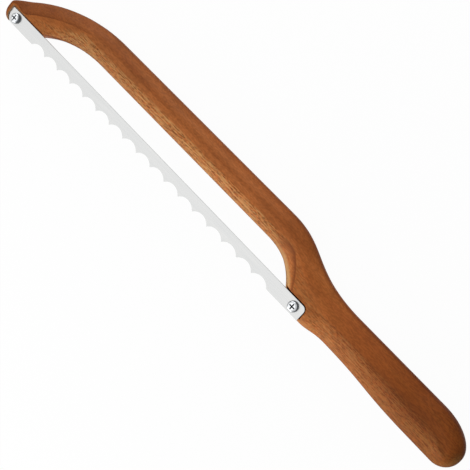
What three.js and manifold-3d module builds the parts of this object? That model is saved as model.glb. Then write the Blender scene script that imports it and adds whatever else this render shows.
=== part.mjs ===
// A fiddle-bow bagel slicer: one board sawn to a bow and a handle, a scalloped strip blade stretched
// between the bow's two feet in a rebate, and a pan-head wood screw through each end of the blade.
// +X runs from the tip to the butt of the handle, +Y from the cutting edge to the spine, and +Z out of
// the face that carries the blade. The origin lies under the middle of the flat back.
import * as THREE from 'three';
import { mergeVertices } from 'three/addons/utils/BufferGeometryUtils.js';
import Module from 'manifold-3d';

const wasm = await Module();
wasm.setup();

// Driving dimensions, in millimetres
const frameThickness = 16;
const bowWidth = 19.9;
const gapHeight = 12.6; // clear height from the blade's back to the inside of the bow
const spineLead = 2; // the spine starts to bend down to the tip this far before the gap does
const gapTipRadius = 88; // how the gap closes towards the tip
const gapHandleRadius = 40; // how the gap closes towards the handle
const handleLength = 118.2; // from the blade's end to the butt
const handleTopHeight = 16.3; // the handle's upper edge, above the blade's back
const waistDepth = 8.25; // the handle's lower edge at its narrowest, below the blade's back
const bellyDepth = 11; // the handle's lower edge at its widest, below the blade's back
const heelDepth = 10.4; // the frame's lower edge at the blade's handle end
const footDepth = 9.7; // and under the handle's seat, where the blade hides it
const neckLength = 20; // from the blade's end to the narrowest part of the handle
const shoulderStart = 25.1; // from the blade's end to where the handle's upper edge begins to rise
const shoulderEnd = 45.8; // and from the blade's end back to where the spine runs straight
const bellyToButt = 32; // from the widest part of the handle to the butt
const buttUpperReach = 26; // the butt's upper corner is drawn out along the handle
const buttLowerRadius = 11.5;
const buttFlat = 0.5; // the straight between the butt's two corners
const noseHeight = 9.8; // from the tip's lower edge to the middle of the nose's upper corner
const noseFlat = 3; // the straight between the nose's two corners
const noseUpperRadius = 3.5;
const noseRim = 3.8; // wood left standing beyond the blade's tip end
const tipFootFillet = 6;
const handleFootFillet = 4;
const roundoverDepth = 7.5; // how far down the side the rounding of the front edges reaches
const bowRoundover = 7.5; // and how far in over the face it reaches, along the bow and at the butt,
const tipRoundover = 9.5; // along the spine at the tip,
const gapEndRoundover = 11; // round the handle end of the gap,
const gripRoundover = 12.8; // along the handle's lower edge at its narrowest
const bellyRoundover = 14; // and at its widest, up to a ridge along the middle of the handle,
const buttRoundover = 10.3; // at the butt's lower corner
const gripUpperRoundover = 10.5; // and along the handle's upper edge
const backRoundover = 6; // the rounding of the back edges
const frontEdgeBreak = 1; // edges beside the tip's rebate are only broken
const heelEdgeBreak = 3.5; // and so is the gap's edge beside the handle's rebate
const backEdgeBreak = 2.5;
const noseRoundover = 2;
const gapTipFade = 28; // length over which the gap's rounding runs out towards the tip's rebate
const noseFade = 11; // the spine's rounding towards the nose
const heelFade = 16; // the gap's rounding towards the handle's rebate
const buttFade = 16; // and the grip's rounding towards the butt

// How full the front roundings are: 2 is round and 1 a flat bevel that leaves a ridge
const bowFullness = 1.8;
const spineFullness = 1.6;
const gripFullness = 1.4;
const bevelFullness = 1.3; // at the tip and round the handle end of the gap
const edgeFullness = 2; // where an edge is only broken

// How long a flowing edge stays level at its two ends, as shares of its length
const heelPull = 0.4;
const waistPull = 0.5;
const bellyPull = 0.5;
const handlePull = 0.57;
const shoulderPull = 0.4;

// The most of the wood's width or thickness that the rounding of one edge takes
const widthShare = 0.46;
const tipShare = 0.5;
const gapEndShare = 0.55;
const gripLowerShare = 0.52;
const gripUpperShare = 0.45;
const cornerShare = 0.9; // of the tightest bend in a corner
const frontShare = 0.47;
const backShare = 0.4;

const bladeLength = 280;
const bladeWidth = 9.1;
const bladeThickness = 1;
const bladeRecess = 1.1; // the blade's face lies this far below the frame's face, almost level with it
const bladeOverhang = 0.1; // the tip end of the blade stands this far below the wood
const tipSeatLength = 29.6; // length of the blade's back that lies on wood at the tip
const handleSeatLength = 18.9; // and at the handle
const tipTangLength = 28; // plain length before the first scallop
const handleTangLength = 24; // shortest plain length after the last scallop
const scallopPitch = 13.3;
const scallopDepth = 3.3;
const grindWidth = 1.3; // the bevel ground along the scallops, on the blade's rear face
const edgeLand = 0.25; // steel left standing at the cutting edge
const tipEndRadius = 5;
const handleEndRadius = 3;

const screwInset = 7; // from each end of the blade
const headDiameter = 6.8;
const headHeight = 2.4;
const headRim = 0.9; // the straight side of the head, under its dome
const headCrown = 3.4; // the flat on top of the dome
const shankLength = 10;
const threadDiameter = 3.5;
const coreDiameter = 2.4;
const threadPitch = 1.4;
const ridgeWidth = 0.93; // the thread's ridge at its root
const pointLength = 2.6;
const pointBlunt = 0.25; // the point's end, as a share of the thread's diameter
const crossSpan = 4;
const crossFoot = 1.3;
const crossWidth = 0.85;
const crossDepth = 1.5;

const backGap = 1.2; // the slit left open in the rebate along the blade's back
const endGap = 0.7; // and at its handle end
const tipGap = 0.15; // its tip end is pushed up to the wood
const clearance = 0.3; // round the screws' threads in the wood
const seatGap = 0.05; // between faces that bear on each other
const holeClearance = 0.35; // between a screw's thread and the blade's hole, on the radius
const pilotOverdrill = 0.6;
const pilotFloor = 1.5; // least wood left under a pilot hole
const cutterMargin = 4; // how far a cutter runs past what it cuts
const weldReach = 1e-4; // corners closer than this are one corner
const curveStep = 3.2; // chord length along curves
const fewestSteps = 4; // steps in the shortest curve
const arcSteps = 6; // steps in a rounded edge
const roundSides = 28;
const threadSides = 20;
const threadLevels = 6; // rings in one turn of the thread

// Places that follow from the dimensions. Heights across the frame are from the blade's back edge.
const buttX = (noseRim + bladeLength + handleLength) / 2;
const noseX = -buttX;
const bladeTipX = noseX + noseRim;
const bladeEndX = bladeTipX + bladeLength;
const waistX = bladeEndX + neckLength;
const shoulderX = bladeEndX + shoulderStart;
const spineEndX = bladeEndX - shoulderEnd;
const spineY = gapHeight + bowWidth;
const tipFootY = bladeOverhang - bladeWidth;
const lowestY = -Math.max(bellyDepth, heelDepth, footDepth, bladeWidth);
const bladeFaceZ = frameThickness - bladeRecess;
const bladeBackZ = bladeFaceZ - bladeThickness;
const bedZ = bladeBackZ - seatGap;
const screwY = -bladeWidth / 2;
const screwZ = bladeFaceZ + seatGap;
const screwReach = Math.min(shankLength, screwZ - pilotOverdrill - pilotFloor);
const holeRadius = threadDiameter / 2 + holeClearance;
const scallopCount = Math.floor((bladeLength - tipTangLength - handleTangLength) / scallopPitch);

// Solids and meshes

function toSolid(geometry) {
  const plain = geometry.index ? geometry.clone() : mergeVertices(geometry);
  plain.deleteAttribute('normal');
  plain.deleteAttribute('uv');
  const merged = mergeVertices(plain, weldReach);
  const corners = merged.index.array;
  const kept = [];
  for (let i = 0; i < corners.length; i += 3) {
    const [a, b, c] = corners.slice(i, i + 3);
    if (a !== b && b !== c && c !== a) kept.push(a, b, c);
  }
  return new wasm.Manifold(new wasm.Mesh({
    numProp: 3,
    vertProperties: Float32Array.from(merged.attributes.position.array),
    triVerts: Uint32Array.from(kept),
  }));
}

function toGeometry(solid) {
  const mesh = solid.getMesh();
  const geometry = new THREE.BufferGeometry();
  geometry.setAttribute('position', new THREE.BufferAttribute(mesh.vertProperties, 3));
  geometry.setIndex(new THREE.BufferAttribute(mesh.triVerts, 1));
  geometry.computeVertexNormals();
  return geometry;
}

// Joins rings of equally many points, bottom ring first, each anticlockwise seen from above.
function loft(rings) {
  const count = rings[0].length;
  const positions = rings.flat().flatMap((point) => [point.x, point.y, point.z]);
  const index = [];
  for (let ring = 0; ring + 1 < rings.length; ring += 1) {
    for (let i = 0; i < count; i += 1) {
      const a = ring * count + i;
      const b = ring * count + (i + 1) % count;
      index.push(a, b, b + count, a, b + count, a + count);
    }
  }
  const last = (rings.length - 1) * count;
  const flatten = (ring) => ring.map((point) => new THREE.Vector2(point.x, point.y));
  for (const [a, b, c] of THREE.ShapeUtils.triangulateShape(flatten(rings[0]), [])) index.push(a, c, b);
  for (const [a, b, c] of THREE.ShapeUtils.triangulateShape(flatten(rings.at(-1)), [])) {
    index.push(last + a, last + b, last + c);
  }
  const geometry = new THREE.BufferGeometry();
  geometry.setAttribute('position', new THREE.Float32BufferAttribute(positions, 3));
  geometry.setIndex(index);
  return geometry;
}

function uprightCylinder(radius, bottom, top) {
  const geometry = new THREE.CylinderGeometry(radius, radius, top - bottom, roundSides);
  geometry.rotateX(Math.PI / 2);
  geometry.translate(0, 0, (bottom + top) / 2);
  return geometry;
}

// The frame

const line = (x0, y0, x1, y1) => new THREE.LineCurve(new THREE.Vector2(x0, y0), new THREE.Vector2(x1, y1));

const arc = (centre, radius, from, to) =>
  new THREE.EllipseCurve(centre.x, centre.y, radius, radius, from, to, to < from);

// An S-shaped run between two level ends, with the length of pull at each end as a share of the span.
function levelRun(x0, y0, x1, y1, startPull, endPull) {
  return new THREE.CubicBezierCurve(
    new THREE.Vector2(x0, y0),
    new THREE.Vector2(x0 + startPull * (x1 - x0), y0),
    new THREE.Vector2(x1 - endPull * (x1 - x0), y1),
    new THREE.Vector2(x1, y1),
  );
}

// The frame's outline, anticlockwise from the nose, as runs of edge with the rounding at their two ends.
function frameRuns() {
  const buttUpperRadius = handleTopHeight + bellyDepth - buttLowerRadius - buttFlat;
  const buttMost = cornerShare * buttUpperRadius ** 2 / buttUpperReach;
  const back = Math.min(backRoundover, backShare * frameThickness);
  const waist = handleTopHeight + waistDepth;
  const belly = handleTopHeight + bellyDepth;
  const rounding = (reach, most, full) => ({ front: Math.min(reach, most), back, full });
  const bow = rounding(bowRoundover, widthShare * bowWidth, bowFullness);
  const spineEdge = { ...bow, full: spineFullness };
  const tip = rounding(tipRoundover, tipShare * bowWidth, bevelFullness);
  const gapEnd = rounding(gapEndRoundover, gapEndShare * bowWidth, bevelFullness);
  const grip = rounding(gripRoundover, gripLowerShare * waist, gripFullness);
  const bellyEdge = rounding(bellyRoundover, gripLowerShare * belly, gripFullness);
  const gripUpper = rounding(gripUpperRoundover, gripUpperShare * waist, spineFullness);
  const buttLow = rounding(buttRoundover, cornerShare * buttLowerRadius, gripFullness);
  const butt = { ...rounding(bowRoundover, buttMost, bowFullness), back: Math.min(back, buttMost) };
  const broken = { front: frontEdgeBreak, back: backEdgeBreak, full: edgeFullness };
  const heelMost = cornerShare * handleFootFillet;
  const heelBack = Math.min(backEdgeBreak, heelMost);
  const heel = { ...rounding(heelEdgeBreak, heelMost, bevelFullness), back: heelBack };
  const nose = { front: noseRoundover, back: backEdgeBreak, full: edgeFullness };
  const angleOf = (from, to) => Math.atan2(to.y - from.y, to.x - from.x);
  const quarter = Math.PI / 2;

  // The gap's two arcs start where the blade's back leaves the wood.
  const gapRun = (radius) => Math.sqrt(radius ** 2 - (radius - gapHeight) ** 2);
  const gapTip = new THREE.Vector2(
    bladeTipX + tipSeatLength + gapRun(gapTipRadius), gapHeight - gapTipRadius);
  const gapHandle = new THREE.Vector2(
    bladeEndX - handleSeatLength - gapRun(gapHandleRadius), gapHeight - gapHandleRadius);
  const footCentre = (gap, radius, footY, fillet, side) => {
    const reach = radius + fillet;
    const rise = footY + fillet - gap.y;
    return new THREE.Vector2(gap.x + side * Math.sqrt(reach ** 2 - rise ** 2), footY + fillet);
  };
  const tipFoot = footCentre(gapTip, gapTipRadius, tipFootY, tipFootFillet, -1);
  const handleFoot = footCentre(gapHandle, gapHandleRadius, -footDepth, handleFootFillet, 1);
  const tipSeatAngle = Math.acos((gapTip.x - bladeTipX - tipSeatLength) / gapTipRadius);
  const handleSeatAngle = Math.acos((bladeEndX - handleSeatLength - gapHandle.x) / gapHandleRadius);
  const tipOpenAngle = Math.PI - tipSeatAngle - gapTipFade / gapTipRadius;
  const handleOpenAngle = handleSeatAngle + heelFade / gapHandleRadius;

  // The spine bends down from just before the gap's own bend, in an arc that runs into the nose's corner.
  const noseCorner = new THREE.Vector2(noseX + noseUpperRadius, tipFootY + noseHeight);
  const spineRun = gapTip.x + spineLead - noseCorner.x;
  const spineFall = spineY - noseCorner.y;
  const spineRadius =
    (spineRun ** 2 + spineFall ** 2 - noseUpperRadius ** 2) / (2 * (spineFall - noseUpperRadius));
  const spine = new THREE.Vector2(gapTip.x + spineLead, spineY - spineRadius);
  const noseAngle = angleOf(spine, noseCorner);
  const noseFadeAngle = noseAngle - noseFade / spineRadius;
  const noseLowerRadius = noseHeight - noseFlat;
  const noseFoot = new THREE.Vector2(noseX + noseLowerRadius, tipFootY + noseLowerRadius);

  const buttLower = new THREE.Vector2(buttX - buttLowerRadius, buttLowerRadius - bellyDepth);
  const buttUpper = new THREE.Vector2(buttX - buttUpperReach, handleTopHeight - buttUpperRadius);
  const buttCurve = new THREE.EllipseCurve(
    buttUpper.x, buttUpper.y, buttUpperReach, buttUpperRadius, 0, quarter);
  const bellyX = buttX - bellyToButt;
  const upperFadeX = buttUpper.x - buttFade;

  return [
    [line(noseFoot.x, tipFootY, tipFoot.x, tipFootY), broken, broken],
    [arc(tipFoot, tipFootFillet, -quarter, angleOf(tipFoot, gapTip)), broken, broken],
    [arc(gapTip, gapTipRadius, angleOf(gapTip, tipFoot), Math.PI - tipSeatAngle), broken, broken],
    [arc(gapTip, gapTipRadius, Math.PI - tipSeatAngle, tipOpenAngle), broken, bow],
    [arc(gapTip, gapTipRadius, tipOpenAngle, quarter), bow, bow],
    [line(gapTip.x, gapHeight, gapHandle.x, gapHeight), bow, bow],
    [arc(gapHandle, gapHandleRadius, quarter, handleOpenAngle), bow, gapEnd],
    [arc(gapHandle, gapHandleRadius, handleOpenAngle, handleSeatAngle), gapEnd, heel],
    [arc(gapHandle, gapHandleRadius, handleSeatAngle, angleOf(gapHandle, handleFoot)), heel, heel],
    [arc(handleFoot, handleFootFillet, angleOf(handleFoot, gapHandle) + 2 * Math.PI, 3 * quarter),
      heel, heel],
    [levelRun(handleFoot.x, -footDepth, bladeEndX, -heelDepth, heelPull, heelPull), heel, grip],
    [levelRun(bladeEndX, -heelDepth, waistX, -waistDepth, heelPull, waistPull), grip, grip],
    [levelRun(waistX, -waistDepth, bellyX, -bellyDepth, waistPull, bellyPull), grip, bellyEdge],
    [line(bellyX, -bellyDepth, buttLower.x, -bellyDepth), bellyEdge, buttLow],
    [arc(buttLower, buttLowerRadius, -quarter, 0), buttLow, butt],
    [line(buttX, buttLower.y, buttX, buttUpper.y), butt, butt],
    [buttCurve, butt, butt],
    [line(buttUpper.x, handleTopHeight, upperFadeX, handleTopHeight), butt, gripUpper],
    [line(upperFadeX, handleTopHeight, shoulderX, handleTopHeight), gripUpper, gripUpper],
    [levelRun(shoulderX, handleTopHeight, spineEndX, spineY, handlePull, shoulderPull),
      gripUpper, spineEdge],
    [line(spineEndX, spineY, spine.x, spineY), spineEdge, spineEdge],
    [arc(spine, spineRadius, quarter, noseFadeAngle), spineEdge, tip],
    [arc(spine, spineRadius, noseFadeAngle, noseAngle), tip, nose],
    [arc(noseCorner, noseUpperRadius, noseAngle, Math.PI), nose, nose],
    [line(noseX, noseCorner.y, noseX, noseFoot.y), nose, nose],
    [arc(noseFoot, noseLowerRadius, Math.PI, 3 * quarter), nose, broken],
  ];
}

// Points along the outline, each with its outward direction and the rounding of its two edges.
function frameEdge() {
  const edge = [];
  for (const [curve, start, end] of frameRuns()) {
    const straight = curve.isLineCurve && start === end;
    const steps = straight ? 1 : Math.max(fewestSteps, Math.ceil(curve.getLength() / curveStep));
    for (let i = 0; i < steps; i += 1) {
      const along = i / steps;
      const ease = THREE.MathUtils.smoothstep(along, 0, 1);
      const point = curve.getPoint(along);
      const tangent = curve.getTangent(along);
      edge.push({
        point,
        outward: new THREE.Vector2(tangent.y, -tangent.x),
        front: THREE.MathUtils.lerp(start.front, end.front, ease),
        back: THREE.MathUtils.lerp(start.back, end.back, ease),
        full: THREE.MathUtils.lerp(start.full, end.full, ease),
      });
    }
  }
  return edge;
}

function frameBlank() {
  const edge = frameEdge();
  const insetPoint = ({ point, outward }, inset, z) =>
    new THREE.Vector3(point.x - inset * outward.x, point.y - inset * outward.y, z);
  const deepest = Math.min(roundoverDepth, frontShare * frameThickness);
  const frontRing = (turn) => edge.map((at) => {
    const power = 2 / at.full;
    const depth = Math.min(at.front, deepest) * (1 - Math.sin(turn) ** power);
    return insetPoint(at, at.front * (1 - Math.cos(turn) ** power), frameThickness - depth);
  });
  const backRing = (turn) => edge.map((at) =>
    insetPoint(at, at.back * (1 - Math.cos(turn)), at.back * (1 - Math.sin(turn))));
  const turns = Array.from({ length: arcSteps + 1 }, (_, i) => (i / arcSteps) * Math.PI / 2);
  return loft([...turns.map(backRing).reverse(), ...turns.map(frontRing)]);
}

// The rebate for the blade: the outline of the unscalloped blade with its slit, open below.
function bladeBedCutter() {
  const left = bladeTipX - tipGap;
  const right = bladeEndX + endGap;
  const lower = -bladeWidth - tipGap;
  const tipRadius = tipEndRadius + tipGap;
  const endRadius = handleEndRadius + endGap;
  const shape = new THREE.Shape();
  shape.moveTo(left, backGap);
  shape.lineTo(left, lower + tipRadius);
  shape.absarc(left + tipRadius, lower + tipRadius, tipRadius, Math.PI, 1.5 * Math.PI, false);
  shape.lineTo(left + tipRadius, lower - cutterMargin);
  shape.lineTo(right, lower - cutterMargin);
  shape.absarc(right - endRadius, backGap - endRadius, endRadius, 0, Math.PI / 2, false);
  const geometry = new THREE.ExtrudeGeometry(shape, {
    depth: frameThickness - bedZ + cutterMargin, bevelEnabled: false, curveSegments: arcSteps * 2,
  });
  geometry.translate(0, 0, bedZ);
  return geometry;
}

function bowFrame() {
  let solid = toSolid(frameBlank()).subtract(toSolid(bladeBedCutter()));
  const pilotFoot = screwZ - screwReach - pilotOverdrill;
  for (const x of [bladeTipX + screwInset, bladeEndX - screwInset]) {
    const pilot = uprightCylinder(threadDiameter / 2 + clearance, pilotFoot, bedZ + cutterMargin);
    pilot.translate(x, screwY, 0);
    solid = solid.subtract(toSolid(pilot));
  }
  return toGeometry(solid);
}

// The blade, from its tip end along +X, with its back on y = 0 and its rear face on z = 0

function bladeRing(grind, z) {
  const ring = [];
  const add = (x, y) => ring.push(new THREE.Vector3(x, y, z));
  const scallopRadius = (scallopPitch ** 2 / 4 + scallopDepth ** 2) / (2 * scallopDepth);
  const groundRadius = scallopRadius + grind;
  const centreY = scallopDepth - bladeWidth - scallopRadius;
  const cuspAngle = Math.asin(scallopPitch / 2 / groundRadius);
  const scallopSteps = arcSteps * 2;
  for (let i = 0; i <= arcSteps; i += 1) {
    const turn = Math.PI + (i / arcSteps) * Math.PI / 2;
    add(tipEndRadius * (1 + Math.cos(turn)), tipEndRadius * (1 + Math.sin(turn)) - bladeWidth);
  }
  add(tipTangLength - grindWidth, -bladeWidth);
  for (let scallop = 0; scallop < scallopCount; scallop += 1) {
    const centreX = tipTangLength + (scallop + 0.5) * scallopPitch;
    for (let i = scallop === 0 ? 0 : 1; i <= scallopSteps; i += 1) {
      const turn = cuspAngle * (2 * i / scallopSteps - 1);
      add(centreX + groundRadius * Math.sin(turn), centreY + groundRadius * Math.cos(turn));
    }
  }
  add(tipTangLength + scallopCount * scallopPitch + grindWidth, -bladeWidth);
  add(bladeLength, -bladeWidth);
  for (let i = 0; i <= arcSteps; i += 1) {
    const turn = (i / arcSteps) * Math.PI / 2;
    add(bladeLength - handleEndRadius * (1 - Math.cos(turn)), handleEndRadius * (Math.sin(turn) - 1));
  }
  add(0, 0);
  return ring;
}

function blade() {
  const landZ = bladeThickness - edgeLand;
  const flat = loft([bladeRing(grindWidth, 0), bladeRing(0, landZ), bladeRing(0, bladeThickness)]);
  let solid = toSolid(flat);
  for (const x of [screwInset, bladeLength - screwInset]) {
    const hole = uprightCylinder(holeRadius, -cutterMargin, bladeThickness + cutterMargin);
    hole.translate(x, screwY, 0);
    solid = solid.subtract(toSolid(hole));
  }
  return toGeometry(solid);
}

// A screw, with the underside of its head on z = 0

function screwHead() {
  const rim = headDiameter / 2;
  const crown = headCrown / 2;
  const profile = [new THREE.Vector2(0, 0), new THREE.Vector2(rim, 0), new THREE.Vector2(rim, headRim)];
  for (let i = 1; i <= arcSteps; i += 1) {
    const turn = (i / arcSteps) * Math.PI / 2;
    profile.push(new THREE.Vector2(
      crown + (rim - crown) * Math.cos(turn), headRim + (headHeight - headRim) * Math.sin(turn)));
  }
  profile.push(new THREE.Vector2(0, headHeight));
  const geometry = new THREE.LatheGeometry(profile, roundSides);
  geometry.rotateX(Math.PI / 2);
  return geometry;
}

// The thread is one ridge that climbs round the core and runs out over the point.
function screwShank() {
  const rootIntoHead = headRim / 2;
  const length = screwReach + rootIntoHead;
  const levels = Math.ceil(length / threadPitch * threadLevels);
  const rings = [];
  for (let level = 0; level <= levels; level += 1) {
    const z = (level / levels) * length - screwReach;
    const taper = THREE.MathUtils.clamp((z + screwReach) / pointLength, pointBlunt, 1);
    rings.push(Array.from({ length: threadSides }, (_, side) => {
      const angle = (side / threadSides) * 2 * Math.PI;
      const turn = THREE.MathUtils.euclideanModulo(z / threadPitch - side / threadSides, 1);
      const ridge = Math.max(0, 1 - Math.abs(turn - 0.5) * 2 * threadPitch / ridgeWidth);
      const radius = taper * (coreDiameter + ridge * (threadDiameter - coreDiameter)) / 2;
      return new THREE.Vector3(radius * Math.cos(angle), radius * Math.sin(angle), z);
    }));
  }
  return loft(rings);
}

function crossWing(angle) {
  const shape = new THREE.Shape();
  shape.moveTo(-crossFoot / 2, -crossDepth);
  shape.lineTo(crossFoot / 2, -crossDepth);
  shape.lineTo(crossSpan / 2, 0);
  shape.lineTo(crossSpan / 2, cutterMargin);
  shape.lineTo(-crossSpan / 2, cutterMargin);
  shape.lineTo(-crossSpan / 2, 0);
  const geometry = new THREE.ExtrudeGeometry(shape, { depth: crossWidth, bevelEnabled: false });
  geometry.translate(0, 0, -crossWidth / 2);
  geometry.rotateX(Math.PI / 2);
  geometry.rotateZ(angle);
  geometry.translate(0, 0, headHeight);
  return geometry;
}

function screw() {
  const body = toSolid(screwHead()).add(toSolid(screwShank()));
  return toGeometry(body.subtract(toSolid(crossWing(0))).subtract(toSolid(crossWing(Math.PI / 2))));
}

// The assembly

function piece(name, geometry, material, x, y, z) {
  const mesh = new THREE.Mesh(geometry, new THREE.MeshStandardMaterial(material));
  mesh.name = name;
  mesh.position.set(x, y, z);
  return mesh;
}

const oiledWood = { color: 0x96603a, roughness: 0.55, metalness: 0 };
const brushedSteel = { color: 0xd8d9da, roughness: 0.32, metalness: 0.9 };
const platedSteel = { color: 0xc6c8ca, roughness: 0.25, metalness: 0.95 };

const slicer = new THREE.Group();
slicer.add(
  piece('bow_frame', bowFrame(), oiledWood, 0, 0, 0),
  piece('blade', blade(), brushedSteel, bladeTipX, 0, bladeBackZ),
  piece('tip_screw', screw(), platedSteel, bladeTipX + screwInset, screwY, screwZ),
  piece('handle_screw', screw(), platedSteel, bladeEndX - screwInset, screwY, screwZ),
);
slicer.position.y = -(lowestY + spineY) / 2;

export default slicer;
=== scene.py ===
import math

import bmesh
import bpy
from mathutils import Matrix, Vector
from mathutils.geometry import interpolate_bezier


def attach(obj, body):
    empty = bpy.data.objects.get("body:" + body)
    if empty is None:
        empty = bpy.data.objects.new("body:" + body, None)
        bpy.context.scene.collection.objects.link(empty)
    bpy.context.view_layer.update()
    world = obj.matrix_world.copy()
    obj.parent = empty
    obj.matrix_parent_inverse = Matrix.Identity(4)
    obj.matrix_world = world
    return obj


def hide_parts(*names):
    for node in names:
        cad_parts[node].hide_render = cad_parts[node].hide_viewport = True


# A bow slicer for bagels and bread: a sanded board, a scalloped strip blade and two wood screws.
# Sizes in the dictionaries are millimetres. Heights across the board are from the blade's back edge.
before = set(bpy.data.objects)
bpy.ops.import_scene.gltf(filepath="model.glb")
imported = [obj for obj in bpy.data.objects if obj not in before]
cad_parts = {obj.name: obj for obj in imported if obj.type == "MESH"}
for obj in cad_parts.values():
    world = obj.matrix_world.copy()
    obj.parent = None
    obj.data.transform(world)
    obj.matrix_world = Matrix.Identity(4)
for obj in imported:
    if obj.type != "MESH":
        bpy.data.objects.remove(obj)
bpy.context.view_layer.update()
mm = 0.001
perMetre = 1000  # millimetres
bladeBackY = -10.75  # the blade's back edge in the shared frame
tonedHalf = 200  # the board's tones are spread this far to each side of its middle
print("frame loaded:", ", ".join(sorted(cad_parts)))


def addNode(tree, kind, settings=None, links=None):
    node = tree.nodes.new(kind)
    for name, value in (settings or {}).items():
        if isinstance(name, str) and hasattr(node, name):
            setattr(node, name, value)
        else:
            node.inputs[name].default_value = value
    for name, source in (links or {}).items():
        tree.links.new(source, node.inputs[name])
    return node


def linearColour(hexText):
    shares = [int(hexText[i:i + 2], 16) / 255 for i in (0, 2, 4)]
    return [c / 12.92 if c <= 0.04045 else ((c + 0.055) / 1.055) ** 2.4 for c in shares] + [1.0]


def newMaterial(name):
    material = bpy.data.materials.new(name)
    material.use_nodes = True
    tree = material.node_tree
    return material, tree, tree.nodes["Principled BSDF"]


# painted on the board's vertices and read by its material
woodMarks = ("openGrain", "paintedHighlight", "paintedShade", "creaseShade")


# A saw line is a wire of vertices. Each stretch is laid on after the wire's last vertex.
def startWire(x, y):
    bm = bmesh.new()
    bm.verts.layers.int.new("order")
    for name in woodMarks:
        bm.verts.layers.float.new(name)
    bm.verts.new((x, y, 0))
    return bm


def wireEnd(bm):
    bm.verts.index_update()
    bm.verts.ensure_lookup_table()
    return [vert for vert in bm.verts if len(vert.link_edges) < 2][-1]


def straightRun(bm, x, y, cuts=0):
    made = bmesh.ops.extrude_vert_indiv(bm, verts=[wireEnd(bm)])
    made["verts"][0].co = (x, y, 0)
    if cuts:
        bmesh.ops.subdivide_edges(bm, edges=made["edges"], cuts=cuts)


def curvedRun(bm, centre, angle, steps):
    middle = (centre[0], centre[1], 0)
    bmesh.ops.spin(bm, geom=[wireEnd(bm)], cent=middle, axis=(0, 0, 1), angle=angle, steps=steps)


def flowingRun(bm, x, y, startPull, endPull, cuts):
    start, end = wireEnd(bm).co.copy(), Vector((x, y, 0))
    reach = Vector((x - start.x, 0, 0))
    first = len(bm.verts)
    straightRun(bm, x, y, cuts)
    course = interpolate_bezier(start, start + startPull * reach, end - endPull * reach, end, cuts + 2)
    bm.verts.ensure_lookup_table()
    for vert in bm.verts[first:]:
        share = (vert.co.x - start.x) / reach.x
        vert.co = course[round(share * (cuts + 1))]


def closeWire(bm):
    bm.verts.ensure_lookup_table()
    order = bm.verts.layers.int["order"]
    wire = [bm.verts[0]]
    ahead = wire
    while ahead:
        ahead = [edge.other_vert(wire[-1]) for edge in wire[-1].link_edges]
        ahead = [vert for vert in ahead if vert not in wire[-2:]]
        wire += ahead
    last = wire.pop()
    for i, vert in enumerate(wire):
        vert[order] = i
    bmesh.ops.weld_verts(bm, targetmap={last: wire[0]})
    return wire


# draws the loop of edges out into a strip of faces, and settles each vertex of the new loop
def drawOut(bm, edges, settle):
    order = bm.verts.layers.int["order"]
    made = bmesh.ops.extrude_edge_only(bm, edges=edges)["geom"]
    newVerts = {item for item in made if isinstance(item, bmesh.types.BMVert)}
    for vert in newVerts:
        settle(vert, vert[order])
    newEdges = [item for item in made if isinstance(item, bmesh.types.BMEdge)]
    newFaces = [item for item in made if isinstance(item, bmesh.types.BMFace)]
    return [edge for edge in newEdges if newVerts.issuperset(edge.verts)], newFaces


def pieceFrom(name, bm, place, materials):
    bmesh.ops.translate(bm, vec=place, verts=bm.verts)
    bmesh.ops.scale(bm, vec=(mm, mm, mm), verts=bm.verts)
    bmesh.ops.recalc_face_normals(bm, faces=bm.faces)
    mesh = bpy.data.meshes.new(name)
    bm.to_mesh(mesh)
    bm.free()
    for material in materials:
        mesh.materials.append(material)
    piece = bpy.data.objects.new(name, mesh)
    bpy.context.scene.collection.objects.link(piece)
    return piece


# cuts other shapes out of a piece, or joins them on, and keeps the result as its plain mesh
def carve(piece, shapes, operation):
    for shape in shapes:
        cut = piece.modifiers.new("carve", "BOOLEAN")
        cut.operation = operation
        cut.solver = "EXACT"
        cut.material_mode = "TRANSFER"
        cut.object = shape
    applyModifiers(piece)
    for shape in shapes:
        bpy.data.objects.remove(shape)


def applyModifiers(piece):
    graph = bpy.context.evaluated_depsgraph_get()
    made = bpy.data.meshes.new_from_object(piece.evaluated_get(graph))
    old = piece.data
    piece.modifiers.clear()
    piece.data = made
    bpy.data.meshes.remove(old)
    made.name = piece.name


# breaks the edges that turn by more than s["sharpest"] degrees
def finishEdges(piece, s, slotNumber=-1):
    sharpest = math.radians(s["sharpest"])
    edgeBreak = piece.modifiers.new("edge break", "BEVEL")
    edgeBreak.width = s["edgeBreak"] * mm
    edgeBreak.segments = 2
    edgeBreak.limit_method = "ANGLE"
    edgeBreak.angle_limit = sharpest
    edgeBreak.use_clamp_overlap = True
    edgeBreak.material = slotNumber
    applyModifiers(piece)
    piece.data.shade_smooth()
    piece.data.set_sharp_from_angle(angle=sharpest)
    # broad faces stay flat beside a thin break
    flats = piece.modifiers.new("flat faces", "WEIGHTED_NORMAL")
    flats.keep_sharp = True
    flats.weight = 100
    applyModifiers(piece)


def rod(bm, radius, bottom, top, sides):
    made = bmesh.ops.create_cone(bm, cap_ends=True, segments=sides, radius1=radius, radius2=radius,
                                 depth=top - bottom)
    bmesh.ops.translate(bm, vec=(0, 0, (bottom + top) / 2), verts=made["verts"])


# Materials

def ramp(tree, source, stops):
    node = addNode(tree, "ShaderNodeValToRGB", None, {"Fac": source})
    band = node.color_ramp
    while len(band.elements) < len(stops):
        band.elements.new(0.5)
    for element, (at, colour) in zip(band.elements, stops):
        element.position = at
        element.color = colour if isinstance(colour, list) else (colour, colour, colour, 1)
    return node.outputs["Color"]


def mixed(tree, kind, share, under, over):
    node = addNode(tree, "ShaderNodeMix", {"data_type": "RGBA", "blend_type": kind})
    for number, source in ((0, share), (6, under), (7, over)):
        if isinstance(source, (float, list)):
            node.inputs[number].default_value = source
        else:
            tree.links.new(source, node.inputs[number])
    return node.outputs[2]


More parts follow.
